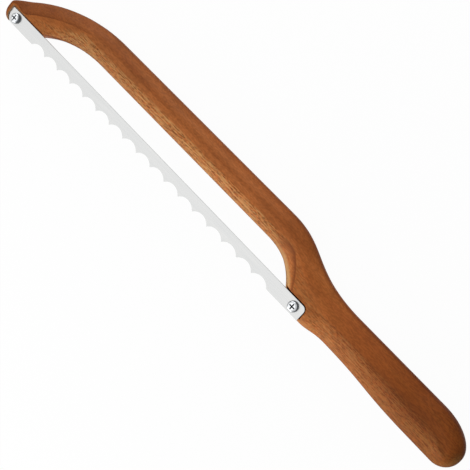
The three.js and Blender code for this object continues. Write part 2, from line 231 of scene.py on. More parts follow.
# noise drawn out along the board, with the length and width of one streak in millimetres
def streaks(tree, long, across, detail, twist=0.0):
    place = addNode(tree, "ShaderNodeTexCoord").outputs["Object"]
    scale = (perMetre / long, perMetre / across, perMetre / across)
    drawn = addNode(tree, "ShaderNodeMapping", {"Scale": scale}, {"Vector": place}).outputs["Vector"]
    settings = {"Scale": 1.0, "Detail": detail, "Roughness": 0.6, "Distortion": twist}
    return addNode(tree, "ShaderNodeTexNoise", settings, {"Vector": drawn}).outputs["Fac"]


# colours that follow one another along the board, from the nose at 0 to the butt at 1
def alongBoard(tree, stops):
    place = addNode(tree, "ShaderNodeTexCoord").outputs["Object"]
    along = addNode(tree, "ShaderNodeSeparateXYZ", None, {"Vector": place}).outputs["X"]
    share = addNode(tree, "ShaderNodeMapRange",
                    {"From Min": -tonedHalf * mm, "From Max": tonedHalf * mm}, {"Value": along})
    return ramp(tree, share.outputs["Result"], [(at, linearColour(tone)) for at, tone in stops])


# Acacia board, stained red-brown, sanded and rubbed with oil: faint bands, short pale fibres where the
# sanding opened the grain on the gap's side and a smoother spine, with painted highlights along parts of
# the outline, painted shade on the sides and the tip's rounding, and a soft painted shade line where a
# rounding ends.
def oiledAcacia():
    material, tree, shader = newMaterial("oiledAcaciaSanded")
    openGrain, paintedHighlight, paintedShade, creaseShade = [
        addNode(tree, "ShaderNodeAttribute", {"attribute_name": name}).outputs["Fac"]
        for name in woodMarks]

    bands = streaks(tree, 130, 9, 2.0, 0.4)  # growth bands
    base = ramp(tree, bands, [(0.30, linearColour("a65c2e")), (0.5, linearColour("af6533")),
                              (0.72, linearColour("b96e3b"))])
    cloud = ramp(tree, streaks(tree, 30, 18, 2.0), [(0.38, 0.90), (0.62, 1.06)])  # uneven stain
    clouded = mixed(tree, "MULTIPLY", 1.0, base, cloud)
    fibres = ramp(tree, streaks(tree, 16, 0.7, 3.0), [(0.36, 0.92), (0.64, 1.06)])  # real fibres are finer
    fibred = mixed(tree, "MULTIPLY", 0.7, clouded, fibres)
    pores = ramp(tree, streaks(tree, 2.6, 0.75, 2.0), [(0.41, 0.38), (0.59, 1.55)])  # drawn coarser
    poreShare = ramp(tree, openGrain, [(0.0, 0.22), (1.0, 0.8)])
    pored = mixed(tree, "MULTIPLY", poreShare, fibred, pores)

    lines = ramp(tree, streaks(tree, 9, 0.7, 3.0), [(0.47, 0.0), (0.57, 0.95)])  # fibres laid open
    flecks = ramp(tree, streaks(tree, 1.8, 0.7, 2.0), [(0.52, 0.0), (0.64, 0.7)])  # pores cut at a slant
    pale = mixed(tree, "LIGHTEN", 1.0, lines, flecks)
    opened = addNode(tree, "ShaderNodeMath", {"operation": "MULTIPLY"},
                     {0: pale, 1: openGrain}).outputs[0]
    paled = mixed(tree, "MIX", opened, pored, linearColour("d0965c"))
    # painted highlight: pale e2b47e mixed in along parts of the outline, standing in for light on the gap's
    # end, the heel and the handle's lower edge
    highlightShare = ramp(tree, paintedHighlight, [(0.0, 0.0), (1.0, 0.85)])
    highlighted = mixed(tree, "MIX", highlightShare, paled, linearColour("e2b47e"))
    # painted shade: darkened towards cbbfb5 on the board's side walls, on the tip's and spine's rounding,
    # and faintly along the handle
    shadeDarkened = mixed(tree, "MULTIPLY", paintedShade, highlighted, linearColour("cbbfb5"))
    # painted shade: dark brown 5a2a10 mixed in along the line where a front rounding meets the face
    creaseShare = ramp(tree, creaseShade, [(0.0, 0.0), (1.0, 0.75)])
    creaseShaded = mixed(tree, "MIX", creaseShare, shadeDarkened, linearColour("5a2a10"))

    # the colour is multiplied along the board: a little darker at the nose, darkest and reddest towards the
    # butt
    tones = [(0.0, "e3e1ce"), (0.2, "e1e1e1"), (0.42, "fffffc"), (0.53, "ffffff"), (0.61, "f8f2ea"),
             (0.66, "fcf6ea"), (0.71, "fffcf0"), (0.79, "f3e8d7"), (0.87, "ded1b9"), (1.0, "c8ba99")]
    toned = mixed(tree, "MULTIPLY", 1.0, creaseShaded, alongBoard(tree, tones))
    tree.links.new(toned, shader.inputs["Base Color"])

    skin = ramp(tree, streaks(tree, 18, 1.6, 2.0), [(0.3, 0.55), (0.7, 0.7)])
    tree.links.new(skin, shader.inputs["Roughness"])
    relief = addNode(tree, "ShaderNodeBump", {"Strength": 0.3, "Distance": 0.00012},
                     {"Height": streaks(tree, 3, 0.7, 3.0)})
    tree.links.new(relief.outputs["Normal"], shader.inputs["Normal"])
    shader.inputs["Specular IOR Level"].default_value = 0.1
    return material


# where the walls' painted shade starts and is full: below the blade's back edge, and along the board
wallShade = {"backFrom": -1.45, "backTo": -0.45, "endFrom": 81.4, "endTo": 82.4}


# The same wood where the cutter went through: raw and dry, pale at the nose and brown on the bed, with
# painted shade along the walls at the handle: dark colour standing in for shade in the slit round the
# blade.
def routedAcacia(s):
    material, tree, shader = newMaterial("acaciaRoutedWallShade")
    cutMottle = streaks(tree, 6, 1.2, 2.0)
    bedTones = [(0.0, "d0a988"), (0.02, "c39a76"), (0.045, "8f5a34")]
    wallTones = [(0.0, "d0a988"), (0.02, "c39a76"), (0.045, "8a5936"), (0.3, "6e4224"), (0.6, "351a0e")]
    place = addNode(tree, "ShaderNodeTexCoord").outputs["Object"]
    apart = addNode(tree, "ShaderNodeSeparateXYZ", None, {"Vector": place}).outputs
    backFrom, backTo = [(bladeBackY + s[name]) * mm for name in ("backFrom", "backTo")]
    nearBack = addNode(tree, "ShaderNodeMapRange",
                       {"From Min": backFrom, "From Max": backTo}, {"Value": apart["Y"]})
    nearEnd = addNode(tree, "ShaderNodeMapRange",
                      {"From Min": s["endFrom"] * mm, "From Max": s["endTo"] * mm}, {"Value": apart["X"]})
    nearWall = addNode(tree, "ShaderNodeMath", {"operation": "MAXIMUM"},
                       {0: nearBack.outputs["Result"], 1: nearEnd.outputs["Result"]}).outputs[0]
    # painted shade: the walls along the blade's back and round its end darken to 351a0e towards the handle
    cut = mixed(tree, "MIX", nearWall, alongBoard(tree, bedTones), alongBoard(tree, wallTones))
    mottled = ramp(tree, cutMottle, [(0.3, 0.75), (0.7, 1.2)])
    mottledTone = mixed(tree, "MULTIPLY", 1.0, cut, mottled)
    tree.links.new(mottledTone, shader.inputs["Base Color"])
    tree.links.new(ramp(tree, cutMottle, [(0.3, 0.75), (0.7, 0.9)]), shader.inputs["Roughness"])
    shader.inputs["Specular IOR Level"].default_value = 0.15
    return material


# Metal whose polish left marks of one length and width: tone and roughness follow the marks.
def markedMetal(name, marks, dark, light, roughness):
    material, tree, shader = newMaterial(name)
    place = addNode(tree, "ShaderNodeTexCoord").outputs["Object"]
    scale = [perMetre / size for size in marks]
    drawn = addNode(tree, "ShaderNodeMapping", {"Scale": scale}, {"Vector": place}).outputs["Vector"]
    noise = addNode(tree, "ShaderNodeTexNoise", {"Scale": 1.0, "Detail": 4.0, "Roughness": 0.7},
                    {"Vector": drawn}).outputs["Fac"]
    tone = ramp(tree, noise, [(0.3, linearColour(dark)), (0.7, linearColour(light))])
    tree.links.new(tone, shader.inputs["Base Color"])
    polish = ramp(tree, noise, [(0.3, roughness[0]), (0.7, roughness[1])])
    tree.links.new(polish, shader.inputs["Roughness"])
    relief = addNode(tree, "ShaderNodeBump", {"Strength": 0.1, "Distance": 0.00002}, {"Height": noise})
    tree.links.new(relief.outputs["Normal"], shader.inputs["Normal"])
    shader.inputs["Metallic"].default_value = 1.0
    return material


acaciaOiled = oiledAcacia()
acaciaRouted = routedAcacia(wallShade)
# cold-rolled strip brushed along its length: pale even grey with faint long scratches, drawn coarser
stainlessBrushed = markedMetal("stainlessStripBrushed", (30, 0.5, 0.5), "a6a7a7", "b0b0af", (0.24, 0.34))
# the rear of the scallops, ground across the edge: short bright marks
stainlessGround = markedMetal("stainlessEdgeGround", (0.45, 6, 6), "b4b5b5", "c8c8c7", (0.2, 0.32))
# barrel-tumbled zinc plate: bright, slightly blue and cloudy
zincPlated = markedMetal("zincPlatedSteelTumbled", (1.2, 1.2, 1.2), "b6b9bc", "c6c7c8", (0.16, 0.26))
# the shoulder of the head: the same plate painted dark grey, as painted shade and dark reflection round the
# rim
zincShoulderShade = markedMetal("zincPlatedShoulderShade", (1.2, 1.2, 1.2), "5e6266", "72767a", (0.3, 0.42))
# the cross recess: the same plate painted dark grey, as painted shade inside the recess
zincRecessShade = markedMetal("zincRecessPaintedShade", (0.6, 0.6, 0.6), "36383a", "505254", (0.45, 0.6))
print("materials made")


# The board: a saw line round the bow and handle, rounded over by rings drawn out from it

board = {
    "thickness": 16, "bowWidth": 19.9, "gapHeight": 12.6, "gapTipRadius": 88, "gapHandleRadius": 40,
    "noseX": -201, "buttX": 201, "footY": -9, "heelFootY": -9.7, "heelY": -10.4, "waistY": -8.25,
    "bellyY": -11, "gripY": 16.3, "tipFillet": 6, "heelFillet": 4, "tipSeatX": -167.6, "heelSeatX": 63.9,
    "spineLead": 2, "noseCorner": (-197.5, 0.8), "noseUpper": 3.5, "noseLower": 6.8,
    "bladeEndX": 82.8, "waistX": 102.8, "shoulderX": 107.9, "spineEndX": 37,
    "bellyX": 169, "bellyEndX": 182, "gripEndX": 159,
    "buttY": 1, "buttReach": 26, "buttRise": 15.3, "buttLower": 11.5,
    "gapTipFade": 28, "heelFade": 16, "noseFade": 11,
    # how hard a flowing curve holds its direction where it starts and ends
    "heelPulls": (0.4, 0.4), "waistPulls": (0.4, 0.5), "bellyPulls": (0.5, 0.5), "spinePulls": (0.57, 0.4),
    "buttTurns": ((0.3, 6), (0.7, 14)),  # shares of the butt's quarter turn, and their steps
    "step": 1.6, "fewestSteps": 4, "roundSteps": 10, "deepest": 7.5, "innerRing": 0.3,
    "darkSide": 0.9, "highlightStrip": 2.1, "edgeBreak": 0.45, "sharpest": 40,
}

# A kind of edge: how far the front and back rounding reach in over the face, how full the front rounding
# is (2 is round, 1 a flat bevel), how deep it goes, how open the grain was left, how strong the painted
# highlight is along the outline, how dark the painted shade is on the rounding, and how dark the painted
# crease shade is on each of the front's last rings.
def edgeKind(front, back, fullness, depth=None, openGrain=0, paintedHighlight=0, paintedShade=0, creaseShade=(0, 0, 0, 0, 0)):
    return (front, back, fullness, depth or min(front, board["deepest"]), openGrain, paintedHighlight, paintedShade, *creaseShade)


edgeKinds = {
    "broken": edgeKind(1, 2.5, 2, openGrain=0.3),
    "gapBow": edgeKind(7.5, 6, 1.8, openGrain=1),
    "gapEnd": edgeKind(10.9, 6, 1.3, openGrain=0.3, paintedHighlight=0.9, creaseShade=(0.35, 0.7, 0.9, 0.75, 0.2)),
    "gapFoot": edgeKind(5.6, 2.5, 1.3, 3.4, openGrain=0.3, paintedHighlight=1, creaseShade=(0.2, 0.5, 0.75, 0.6, 0)),
    "heel": edgeKind(3.5, 2.5, 1.3, openGrain=0.3, paintedHighlight=1, creaseShade=(0.1, 0.4, 0.7, 0.6, 0)),
    "bladeEnd": edgeKind(12.8, 6, 2.4, openGrain=0.45, paintedHighlight=0.2, paintedShade=0.1,
                         creaseShade=(0, 0.1, 0.2, 0.25, 0.2)),
    "lowGrip": edgeKind(12.8, 6, 1.4, openGrain=0.5, paintedHighlight=0.06, paintedShade=0.1,
                        creaseShade=(0, 0.05, 0.15, 0.3, 0.3)),
    "lowBelly": edgeKind(14, 6, 1.4, openGrain=0.5, paintedHighlight=0.05, paintedShade=0.1,
                         creaseShade=(0.05, 0.2, 0.35, 0.42, 0.45)),
    "lowButt": edgeKind(10.3, 6, 1.4, openGrain=0.45, paintedHighlight=0.08, paintedShade=0.1,
                        creaseShade=(0, 0, 0.1, 0.25, 0.4)),
    "buttEnd": edgeKind(7.5, 6, 1.8, openGrain=0.3, paintedHighlight=0.4),
    "butt": edgeKind(7.5, 6, 1.8, openGrain=0.1, creaseShade=(0, 0, 0.05, 0.15, 0.25)),
    "highButt": edgeKind(10.5, 6, 1.6, creaseShade=(0, 0, 0.1, 0.3, 0.4)),
    "highGrip": edgeKind(10.5, 6, 1.6),
    "spine": edgeKind(7.5, 6, 1.6, paintedShade=0.3),
    "tip": edgeKind(9.5, 6, 1.3, paintedShade=0.85, creaseShade=(0, 0, 0.2, 0.7, 0)),
    "nose": edgeKind(2, 2.5, 2, paintedShade=1),
}


def sawLine(s):
    bm = startWire(s["noseX"] + s["noseLower"], s["footY"])
    fades = []  # the kind of edge at each vertex, faded from one to the next
    lastKind = ["broken"]

    def fade(kind):
        start, end = edgeKinds[lastKind[0]], edgeKinds[kind]
        count = len(bm.verts) - len(fades)
        for i in range(1, count + 1):
            share = i / count
            eased = share if kind == "gapFoot" else share * share * (3 - 2 * share)
            fades.append([a + (b - a) * eased for a, b in zip(start, end)])
        lastKind[0] = kind

    def straight(x, y, kind):
        length = (wireEnd(bm).co - Vector((x, y, 0))).length
        straightRun(bm, x, y, max(1, round(length / s["step"])))
        fade(kind)

    def curved(centre, angle, kind):
        radius = (wireEnd(bm).co - Vector((*centre, 0))).length
        steps = max(s["fewestSteps"], round(abs(angle) * radius / s["step"]))
        curvedRun(bm, centre, angle, steps)
        fade(kind)

    def flowing(x, y, pulls, kind):
        flowingRun(bm, x, y, *pulls, round(abs(x - wireEnd(bm).co.x) / s["step"]))
        fade(kind)

    def heading(centre):
        away = wireEnd(bm).co - Vector((*centre, 0))
        return math.atan2(away.y, away.x)

    def gapCentre(seatX, radius, side):
        below = radius - s["gapHeight"]
        return (seatX + side * math.sqrt(radius ** 2 - below ** 2), -below)

    def filletCentre(gap, radius, y, fillet, side):
        across = y + fillet - gap[1]
        return (gap[0] + side * math.sqrt((radius + fillet) ** 2 - across ** 2), y + fillet)

    quarter = math.pi / 2
    gapTip = gapCentre(s["tipSeatX"], s["gapTipRadius"], 1)
    gapHandle = gapCentre(s["heelSeatX"], s["gapHandleRadius"], -1)
    tipFoot = filletCentre(gapTip, s["gapTipRadius"], s["footY"], s["tipFillet"], -1)
    heelFoot = filletCentre(gapHandle, s["gapHandleRadius"], s["heelFootY"], s["heelFillet"], 1)
    tipSeat = math.pi - math.acos((gapTip[0] - s["tipSeatX"]) / s["gapTipRadius"])
    heelSeat = math.acos((s["heelSeatX"] - gapHandle[0]) / s["gapHandleRadius"])

    # from the nose along the tip's foot and round the gap
    fade("broken")
    straight(tipFoot[0], s["footY"], "broken")
    towards = math.atan2(gapTip[1] - tipFoot[1], gapTip[0] - tipFoot[0])
    curved(tipFoot, towards + quarter, "broken")
    curved(gapTip, tipSeat - heading(gapTip), "broken")
    curved(gapTip, -s["gapTipFade"] / s["gapTipRadius"], "gapBow")
    curved(gapTip, quarter - heading(gapTip), "gapBow")
    straight(gapHandle[0], s["gapHeight"], "gapBow")
    curved(gapHandle, heelSeat + s["heelFade"] / s["gapHandleRadius"] - quarter, "gapEnd")
    curved(gapHandle, heelSeat - heading(gapHandle), "gapFoot")
    towards = math.atan2(heelFoot[1] - gapHandle[1], heelFoot[0] - gapHandle[0])
    curved(gapHandle, towards - heading(gapHandle), "heel")
    curved(heelFoot, 3 * quarter - heading(heelFoot) % (2 * math.pi), "heel")

    # along the handle, round the butt and back over the spine
    flowing(s["bladeEndX"], s["heelY"], s["heelPulls"], "bladeEnd")
    flowing(s["waistX"], s["waistY"], s["waistPulls"], "lowGrip")
    flowing(s["bellyX"], s["bellyY"], s["bellyPulls"], "lowBelly")
    straight(s["bellyEndX"], s["bellyY"], "lowBelly")
    straight(s["buttX"] - s["buttLower"], s["bellyY"], "lowButt")
    curved((s["buttX"] - s["buttLower"], s["bellyY"] + s["buttLower"]), quarter, "buttEnd")
    straight(s["buttX"], s["buttY"], "buttEnd")
    first = len(bm.verts)
    for share, steps in s["buttTurns"]:
        curvedRun(bm, (s["buttX"] - s["buttRise"], s["buttY"]), share * quarter, steps)
        fade("butt")
    stretch = s["buttReach"] / s["buttRise"]
    bm.verts.ensure_lookup_table()
    bmesh.ops.scale(bm, vec=(stretch, 1, 1), verts=bm.verts[first:],
                    space=Matrix.Translation((-s["buttX"], 0, 0)))
    straight(s["gripEndX"], s["gripY"], "highButt")
    straight(s["shoulderX"], s["gripY"], "highGrip")
    spineY = s["gapHeight"] + s["bowWidth"]
    flowing(s["spineEndX"], spineY, s["spinePulls"], "spine")
    spineX = gapTip[0] + s["spineLead"]
    straight(spineX, spineY, "spine")
    run, fall = spineX - s["noseCorner"][0], spineY - s["noseCorner"][1]
    radius = (run ** 2 + fall ** 2 - s["noseUpper"] ** 2) / (2 * (fall - s["noseUpper"]))
    spine = (spineX, spineY - radius)
    noseTurn = math.atan2(s["noseCorner"][1] - spine[1], s["noseCorner"][0] - spine[0])
    curved(spine, noseTurn - s["noseFade"] / radius - quarter, "tip")
    curved(spine, s["noseFade"] / radius, "nose")
    curved(s["noseCorner"], math.pi - noseTurn, "nose")
    noseFoot = (s["noseX"] + s["noseLower"], s["footY"] + s["noseLower"])
    straight(s["noseX"], noseFoot[1], "nose")
    curved(noseFoot, quarter, "broken")
    return bm, fades[:-1]


def buildBoard(s):
    bm, fades = sawLine(s)
    wire = closeWire(bm)
    count = len(wire)
    outline = [vert.co.copy() for vert in wire]
    outward = []
    for i in range(count):
        before, after = outline[i] - outline[i - 1], outline[(i + 1) % count] - outline[i]
        along = before.normalized() + after.normalized()
        outward.append(Vector((along.y, -along.x, 0)).normalized())

    openGrain, paintedHighlight, paintedShade, creaseShade = [bm.verts.layers.float[name] for name in woodMarks]

    def settle(vert, i, inset, height, ringNumber):
        grain, highlightAmount, dark, *creases = fades[i][4:]
        vert.co = outline[i] - outward[i] * inset + Vector((0, 0, height))
        # painted shade on the side walls, reaching darkSide in from the outline
        sideShare = min(1, max(0, 1 - inset / s["darkSide"]))
        vert[openGrain] = grain
        vert[paintedHighlight] = 0
        vert[paintedShade] = sideShare
        vert[creaseShade] = 0
        if ringNumber < 0:
            return
        # painted highlight on a strip next to the outline, fading out inwards
        vert[paintedHighlight] = highlightAmount * min(1, max(0, 2 - inset / s["highlightStrip"])) * (1 - sideShare)
        # painted shade on the front rounding, as strong as the kind of edge gives
        vert[paintedShade] = max(sideShare, dark if ringNumber <= s["roundSteps"] else 0)
        # painted crease shade on the last rings of the front rounding
        creaseRing = ringNumber - s["roundSteps"] - 2 + len(creases)
        vert[creaseShade] = creases[creaseRing] if 0 <= creaseRing < len(creases) else 0
        vert[openGrain] = grain * (1 - vert[creaseShade]) * (1 - sideShare)

    def backRing(turn, ringNumber):
        def settleBack(vert, i):
            reach = fades[i][1]
            settle(vert, i, reach * (1 - math.cos(turn)), reach * (1 - math.sin(turn)), ringNumber)
        return settleBack

    def frontRing(turn, ringNumber, further=0):
        def settleFront(vert, i):
            reach, _, fullness, depth = fades[i][:4]
            power = 2 / fullness
            inset = reach * (1 - max(0, math.cos(turn)) ** power) + further
            drop = depth * (1 - math.sin(turn) ** power)
            settle(vert, i, inset, s["thickness"] - drop, ringNumber)
        return settleFront

    belt = list(bm.edges)
    for i, vert in enumerate(wire):
        backRing(0, 0)(vert, i)
    turns = [i / s["roundSteps"] * math.pi / 2 for i in range(s["roundSteps"] + 1)]
    edges = belt
    for turn in turns[1:]:
        edges = drawOut(bm, edges, backRing(turn, -1))[0]
    bmesh.ops.contextual_create(bm, geom=edges)
    edges = belt
    for ringNumber, turn in enumerate(turns):
        edges = drawOut(bm, edges, frontRing(turn, ringNumber))[0]
    edges = drawOut(bm, edges, frontRing(turns[-1], s["roundSteps"] + 1, s["innerRing"]))[0]
    bmesh.ops.contextual_create(bm, geom=edges)
    return pieceFrom("bowAndHandle", bm, (0, bladeBackY, 0), [acaciaOiled, acaciaRouted])


# the rebate that the blade lies in, open below, and a pilot hole under each screw
rebate = {"left": -197.35, "right": 83.5, "top": 1.2, "bottom": -15, "bed": 13.85, "tipRadius": 5.15,
          "endRadius": 3.7, "lower": -9.25, "cornerSteps": 16, "cutterHeight": 8,
          "pilotRadius": 2.05, "pilotFoot": 4.35, "pilotOver": 2, "pilotSides": 40,
          "screwX": (-190.2, 75.8), "screwY": -4.55}


def lifted(outline, height):
    def settle(vert, i):
        vert.co = outline[i] + Vector((0, 0, height))
    return settle


def rebateCutter(s):
    bm = startWire(s["left"], s["top"])
    straightRun(bm, s["left"], s["lower"] + s["tipRadius"])
    curvedRun(bm, (s["left"] + s["tipRadius"], s["lower"] + s["tipRadius"]), math.pi / 2,
              s["cornerSteps"])
    straightRun(bm, s["left"] + s["tipRadius"], s["bottom"])
    straightRun(bm, s["right"], s["bottom"])
    straightRun(bm, s["right"], s["top"] - s["endRadius"])
    curvedRun(bm, (s["right"] - s["endRadius"], s["top"] - s["endRadius"]), math.pi / 2,
              s["cornerSteps"])
    straightRun(bm, s["left"], s["top"])
    outline = [vert.co.copy() for vert in closeWire(bm)]
    edges = list(bm.edges)
    bmesh.ops.contextual_create(bm, geom=edges)
    edges = drawOut(bm, edges, lifted(outline, s["cutterHeight"]))[0]
    bmesh.ops.contextual_create(bm, geom=edges)
    return pieceFrom("rebateCutter", bm, (0, bladeBackY, s["bed"]), [acaciaRouted])


def pilotCutter(s, x):
    bm = bmesh.new()
    rod(bm, s["pilotRadius"], s["pilotFoot"], s["bed"] + s["pilotOver"], s["pilotSides"])
    return pieceFrom("pilotCutter", bm, (x, bladeBackY + s["screwY"], 0), [acaciaRouted])


bowAndHandle = buildBoard(board)
carve(bowAndHandle, [rebateCutter(rebate)] + [pilotCutter(rebate, x) for x in rebate["screwX"]],
      "DIFFERENCE")
finishEdges(bowAndHandle, board, 1)
print("board sawn and rounded:", len(bowAndHandle.data.polygons), "faces")


# The blade: a strip with round scallops ground into its lower edge

strip = {
    "length": 280, "width": 9.1, "thick": 1.0, "tipX": -197.2, "rearZ": 13.9,
    "tipRadius": 5, "endRadius": 3, "tang": 28, "scallops": 17, "pitch": 13.3, "depth": 3.3,
    "grind": 1.3, "land": 0.25, "tipSteps": 14, "scallopSteps": 24, "endSteps": 10,
    "holeInset": 7, "holeRadius": 2.1, "holeFrom": -2, "holeTo": 3, "holeSides": 40,
    "edgeBreak": 0.15, "sharpest": 30,
}


def buildBlade(s):
    low = -s["width"]
    radius = (s["pitch"] ** 2 / 4 + s["depth"] ** 2) / (2 * s["depth"])
    centreY = low + s["depth"] - radius
    half = math.asin(s["pitch"] / 2 / radius)
    groundHalf = math.asin(s["pitch"] / 2 / (radius + s["grind"]))
    bm = startWire(0, 0)
    straightRun(bm, 0, low + s["tipRadius"])
    curvedRun(bm, (s["tipRadius"], low + s["tipRadius"]), math.pi / 2, s["tipSteps"])
    straightRun(bm, s["tang"] - s["grind"], low)
    straightRun(bm, s["tang"], low)
    firstTooth = len(bm.verts) - 1
    for tooth in range(s["scallops"]):
        centreX = s["tang"] + (tooth + 0.5) * s["pitch"]
        curvedRun(bm, (centreX, centreY), -2 * half, s["scallopSteps"])
    lastTooth = len(bm.verts) - 1
    straightRun(bm, s["tang"] + s["scallops"] * s["pitch"] + s["grind"], low)
    straightRun(bm, s["length"], low)
    straightRun(bm, s["length"], -s["endRadius"])
    curvedRun(bm, (s["length"] - s["endRadius"], -s["endRadius"]), math.pi / 2, s["endSteps"])
    straightRun(bm, 0, 0)
    outline = [vert.co.copy() for vert in closeWire(bm)]
    edges = list(bm.edges)
    bmesh.ops.contextual_create(bm, geom=edges)
    edges = drawOut(bm, edges, lifted(outline, -s["land"]))[0]

    # the rear is ground back above the scallops, and the cusps keep their spacing
    def grindBack(vert, i):
        vert.co = outline[i] - Vector((0, 0, s["thick"]))
        if firstTooth <= i <= lastTooth:
            tooth = min(int((outline[i].x - s["tang"]) / s["pitch"]), s["scallops"] - 1)
            centreX = s["tang"] + (tooth + 0.5) * s["pitch"]
            turn = math.atan2(outline[i].x - centreX, outline[i].y - centreY) * groundHalf / half
            vert.co.x = centreX + (radius + s["grind"]) * math.sin(turn)
            vert.co.y = centreY + (radius + s["grind"]) * math.cos(turn)

    order = bm.verts.layers.int["order"]
    edges, faces = drawOut(bm, edges, grindBack)
    for item in faces:
        if all(firstTooth - 1 <= vert[order] <= lastTooth + 1 for vert in item.verts):
            item.material_index = 1
    bmesh.ops.contextual_create(bm, geom=edges)
    return pieceFrom("scallopedBlade", bm, (s["tipX"], bladeBackY, s["rearZ"] + s["thick"]),
                     [stainlessBrushed, stainlessGround])


def holeCutter(s, x):
    bm = bmesh.new()
    rod(bm, s["holeRadius"], s["holeFrom"], s["holeTo"], s["holeSides"])
    return pieceFrom("holeCutter", bm, (s["tipX"] + x, bladeBackY - s["width"] / 2, s["rearZ"]), [])


scallopedBlade = buildBlade(strip)
holesX = (strip["holeInset"], strip["length"] - strip["holeInset"])
carve(scallopedBlade, [holeCutter(strip, x) for x in holesX], "DIFFERENCE")
finishEdges(scallopedBlade, strip)
print("blade punched and ground:", len(scallopedBlade.data.polygons), "faces")


# The screws: a pan head with a cross recess, and a thread climbing a plain core

woodScrew = {
    "headRadius": 3.4, "headHeight": 2.4, "headRim": 0.9, "crownRadius": 1.7, "underHead": 14.95,
    "shoulder": 2.0, "shank": 10, "coreRadius": 1.2, "point": 2.6, "bluntShare": 0.25,
    "threadRadius": 1.75, "pitch": 1.4, "ridge": 0.46, "rootShare": 0.8, "turnSteps": 24,
    # the thread starts at a share of the point, stops short of the head, and is least at its two ends
    "startShare": 0.55, "stopShort": 0.5, "runOut": 0.9, "leastShare": 0.3,
    "crossSpan": 4.0, "crossFoot": 1.3, "crossWidth": 0.85, "crossDepth": 1.5, "crossTaper": 0.8,
    "crossOver": 0.02, "crossRaise": 1, "sides": 56, "domeSteps": 12, "weld": 1e-5,
    "edgeBreak": 0.05, "sharpest": 35,
}


def buildScrew(name, s, x):
    place = (x, bladeBackY + rebate["screwY"], s["underHead"])
    # half of the screw's outline, from the point up to the top of the head, turned once round
    bm = startWire(0, 0)
    bm.verts.ensure_lookup_table()
    bm.verts[0].co.z = -s["shank"]
    profile = [(s["bluntShare"] * s["coreRadius"], -s["shank"]), (s["coreRadius"], s["point"] - s["shank"]),
               (s["coreRadius"], 0), (s["headRadius"], 0), (s["headRadius"], s["headRim"])]
    for i in range(1, s["domeSteps"] + 1):
        turn = i / s["domeSteps"] * math.pi / 2
        profile.append((s["crownRadius"] + (s["headRadius"] - s["crownRadius"]) * math.cos(turn),
                        s["headRim"] + (s["headHeight"] - s["headRim"]) * math.sin(turn)))
    profile.append((0, s["headHeight"]))
    for radius, height in profile:
        made = bmesh.ops.extrude_vert_indiv(bm, verts=[wireEnd(bm)])
        made["verts"][0].co = (radius, 0, height)
    bmesh.ops.spin(bm, geom=bm.verts[:] + bm.edges[:], cent=(0, 0, 0), axis=(0, 0, 1),
                   angle=2 * math.pi, steps=s["sides"], use_merge=True)
    bmesh.ops.remove_doubles(bm, verts=bm.verts, dist=s["weld"])
    # the head's shoulder takes the painted shade
    for item in bm.faces:
        if 0 < item.calc_center_median().z < s["shoulder"]:
            item.material_index = 1
    screw = pieceFrom(name, bm, place, [zincPlated, zincShoulderShade])
    carve(screw, [screwThread(s, place)], "UNION")
    carve(screw, [crossCutter(s, place, turn) for turn in (0, math.pi / 2)], "DIFFERENCE")
    finishEdges(screw, s)
    return screw


def screwThread(s, place):
    bm = bmesh.new()
    perTurn = s["turnSteps"]
    threadStart = s["point"] * s["startShare"]
    turns = (s["shank"] - threadStart - s["stopShort"]) / s["pitch"]
    steps = int(turns * perTurn)
    inner = s["coreRadius"] * s["rootShare"]
    corners = [bm.verts.new((inner, 0, -s["ridge"])), bm.verts.new((s["threadRadius"], 0, 0)),
               bm.verts.new((inner, 0, s["ridge"]))]
    for a, b in ((0, 1), (1, 2), (2, 0)):
        bm.edges.new((corners[a], corners[b]))
    bmesh.ops.contextual_create(bm, geom=bm.edges[:])
    made = bmesh.ops.spin(bm, geom=bm.edges[:], cent=(0, 0, 0), axis=(0, 0, 1),
                          dvec=(0, 0, s["pitch"] / perTurn), angle=steps / perTurn * 2 * math.pi,
                          steps=steps)
    last = [item for item in made["geom_last"] if isinstance(item, bmesh.types.BMEdge)]
    bmesh.ops.contextual_create(bm, geom=last)
    bmesh.ops.translate(bm, vec=(0, 0, threadStart - s["shank"]), verts=bm.verts)
    # the ridge grows out of the point and runs out under the head
    for vert in bm.verts:
        rise = (vert.co.z + s["shank"]) / s["point"]
        share = min(1, max(s["leastShare"], rise), max(s["leastShare"], -vert.co.z / s["runOut"]))
        radius = math.hypot(vert.co.x, vert.co.y)
        if radius > s["coreRadius"]:
            wanted = s["coreRadius"] * min(1, rise) + (radius - s["coreRadius"]) * share
            vert.co.x *= wanted / radius
            vert.co.y *= wanted / radius
    return pieceFrom("screwThread", bm, place, [zincPlated])


def crossCutter(s, place, turn):
    bm = bmesh.new()
    made = bmesh.ops.create_cube(bm, size=1)
    for vert in made["verts"]:
        deep = vert.co.z < 0
        vert.co.x *= s["crossFoot"] if deep else s["crossSpan"]
        vert.co.y *= s["crossWidth"] * (s["crossTaper"] if deep else 1.0)
        vert.co.z = s["headHeight"] + (-s["crossDepth"] if deep else s["crossOver"])
    top = [face for face in bm.faces if face.calc_center_median().z > s["headHeight"]]
    raised = bmesh.ops.extrude_face_region(bm, geom=top)["geom"]
    raisedVerts = [item for item in raised if isinstance(item, bmesh.types.BMVert)]
    bmesh.ops.translate(bm, vec=(0, 0, s["crossRaise"]), verts=raisedVerts)
    bmesh.ops.delete(bm, geom=top, context="FACES_ONLY")
    bmesh.ops.rotate(bm, cent=(0, 0, 0), matrix=Matrix.Rotation(turn, 3, "Z"), verts=bm.verts)
    # the recess walls take the painted shade
    return pieceFrom("crossCutter", bm, place, [zincRecessShade])


tipScrew = buildScrew("tipScrew", woodScrew, rebate["screwX"][0])
handleScrew = buildScrew("handleScrew", woodScrew, rebate["screwX"][1])
print("screws turned and threaded:", len(tipScrew.data.polygons), "faces each")

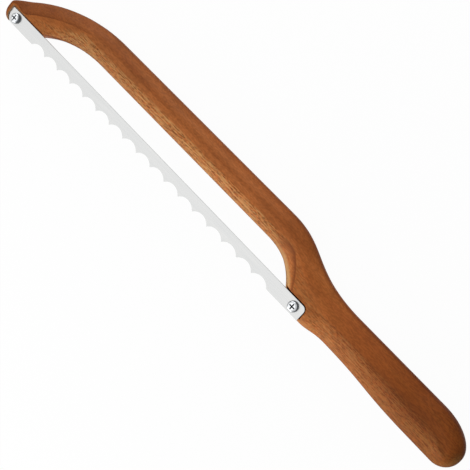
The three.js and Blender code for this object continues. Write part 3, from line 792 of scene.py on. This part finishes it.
for piece, node, body, slotName in ((bowAndHandle, "bow_frame", "frame", "oiled_wood"),
                                    (scallopedBlade, "blade", "blade", "blade_steel"),
                                    (tipScrew, "tip_screw", "tip_screw", "screw_steel"),
                                    (handleScrew, "handle_screw", "handle_screw", "screw_steel")):
    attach(piece, body)
    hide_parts(node)
print("pieces ride on their bodies")


# The stage: a pale floor, a large soft box overhead, a low one on the blade's side and another opposite

stage = {
    "floorSize": 6.0, "floorDrop": 0.0001, "floorColour": "f4f4f4", "bounceColour": "8c8c8c",
    "whiteShare": 0.96, "skyStrength": 0.24,
    "lamps": {
        "overhead": {"place": (-0.44, -0.37, 1.39), "size": (1.7, 1.7), "power": 8.4},
        "bladeSide": {"place": (-0.08, -0.62, 0.17), "size": (0.7, 0.32), "power": 3.4},
        "spineSide": {"place": (-0.45, 0.6, 0.2), "size": (0.8, 0.4), "power": 4.0},
    },
}


# what the camera sees, straight or in metal, is plain white; light that bounces meets a dimmer surface
def seenByEye(tree):
    path = addNode(tree, "ShaderNodeLightPath").outputs
    inMetal = addNode(tree, "ShaderNodeMath", {"operation": "MAXIMUM"},
                      {0: path["Is Glossy Ray"], 1: path["Is Transmission Ray"]}).outputs[0]
    return addNode(tree, "ShaderNodeMath", {"operation": "MAXIMUM"},
                   {0: path["Is Camera Ray"], 1: inMetal}).outputs[0]


def whiteFloor(s):
    material, tree, shader = newMaterial("paperSweepMatt")
    tree.nodes.remove(shader)
    seen = seenByEye(tree)
    paper = addNode(tree, "ShaderNodeBsdfDiffuse", {"Color": linearColour(s["floorColour"])})
    glow = addNode(tree, "ShaderNodeEmission", {"Color": (1, 1, 1, 1), "Strength": 1.0})
    white = addNode(tree, "ShaderNodeMixShader", {0: s["whiteShare"]},
                    {1: paper.outputs[0], 2: glow.outputs[0]})
    bounce = addNode(tree, "ShaderNodeBsdfDiffuse", {"Color": linearColour(s["bounceColour"])})
    either = addNode(tree, "ShaderNodeMixShader", None,
                     {0: seen, 1: bounce.outputs[0], 2: white.outputs[0]})
    tree.links.new(either.outputs[0], tree.nodes["Material Output"].inputs["Surface"])
    return material


def buildStage(s):
    bm = bmesh.new()
    bmesh.ops.create_grid(bm, x_segments=1, y_segments=1, size=s["floorSize"] / 2)
    bmesh.ops.translate(bm, vec=(0, 0, -s["floorDrop"]), verts=bm.verts)
    mesh = bpy.data.meshes.new("floor")
    bm.to_mesh(mesh)
    bm.free()
    mesh.materials.append(whiteFloor(s))
    floor = bpy.data.objects.new("floor", mesh)
    bpy.context.scene.collection.objects.link(floor)

    for name, settings in s["lamps"].items():
        lamp = bpy.data.lights.new(name, "AREA")
        lamp.shape = "RECTANGLE"
        lamp.size, lamp.size_y = settings["size"]
        lamp.energy = settings["power"]
        holder = bpy.data.objects.new(name, lamp)
        holder.location = settings["place"]
        holder.rotation_euler = (-Vector(settings["place"])).to_track_quat("-Z", "Y").to_euler()
        bpy.context.scene.collection.objects.link(holder)

    world = bpy.data.worlds.new("studio")
    bpy.context.scene.world = world
    world.use_nodes = True
    tree = world.node_tree
    sky = tree.nodes["Background"]
    sky.inputs["Color"].default_value = (1, 1, 1, 1)
    seen = seenByEye(tree)
    level = addNode(tree, "ShaderNodeMapRange", {"To Min": s["skyStrength"], "To Max": 1.0},
                    {"Value": seen})
    tree.links.new(level.outputs["Result"], sky.inputs["Strength"])


buildStage(stage)
bpy.context.scene.view_settings.view_transform = "Standard"
print("stage lit")

# The camera looks down over the spine from above the handle
lookout = {"place": (193.49, 135.93, 561.82), "target": (20.79, -10.65, 14.9),
           "right": (0.66448, 0.64233, -0.38197), "lens": 76.6, "sensor": 36,
           "nearest": 0.01, "furthest": 20}


def buildCamera(s):
    place = Vector(s["place"])
    back = (place - Vector(s["target"])).normalized()
    upward = back.cross(Vector(s["right"])).normalized()
    right = upward.cross(back)
    lens = bpy.data.cameras.new("lookout")
    lens.lens = s["lens"]
    lens.sensor_width = s["sensor"]
    lens.clip_start, lens.clip_end = s["nearest"], s["furthest"]
    camera = bpy.data.objects.new("lookout", lens)
    facing = Matrix((right, upward, back)).transposed().to_4x4()
    camera.matrix_world = Matrix.Translation(place * mm) @ facing
    bpy.context.scene.collection.objects.link(camera)
    bpy.context.scene.camera = camera


buildCamera(lookout)
print("camera set")
